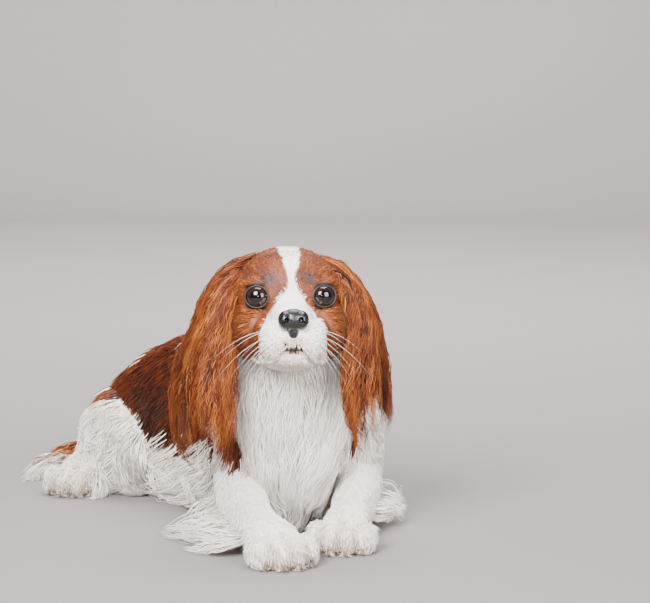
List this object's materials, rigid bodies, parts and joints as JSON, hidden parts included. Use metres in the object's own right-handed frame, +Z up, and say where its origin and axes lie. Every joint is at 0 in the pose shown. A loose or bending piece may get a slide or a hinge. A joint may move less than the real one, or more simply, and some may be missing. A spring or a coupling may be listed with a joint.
{
  "type": "cavalier king charles spaniel",
  "caption": "Life-size still figure of a chestnut and white Cavalier King Charles spaniel lying with its head up and its long ears hanging.",
  "frame": {"origin": "on the floor, under the middle of the footprint", "axes": "+Z up; the dog looks along -Y and its left side is at +X"},
  "size_m": [0.3728, 0.469, 0.254],
  "materials": {
    "head_coat": "short silky fur, chestnut with a white blaze and muzzle",
    "ear_coat": "long wavy silky fur, chestnut with paler ends",
    "body_coat": "long silky fur, white with a chestnut saddle",
    "nose_leather": "black, slightly moist",
    "eye": "very dark brown, wet gloss"
  },
  "bodies": {
    "root": {"ear_left": "ear_coat", "ear_right": "ear_coat", "eye_left": "eye", "eye_right": "eye", "foreleg_left": "body_coat", "foreleg_right": "body_coat", "head": "head_coat", "hindleg_left": "body_coat", "hindleg_right": "body_coat", "neck_and_chest": "body_coat", "nose": "nose_leather", "tail": "body_coat", "torso": "body_coat"}
  },
  "joints": []
}
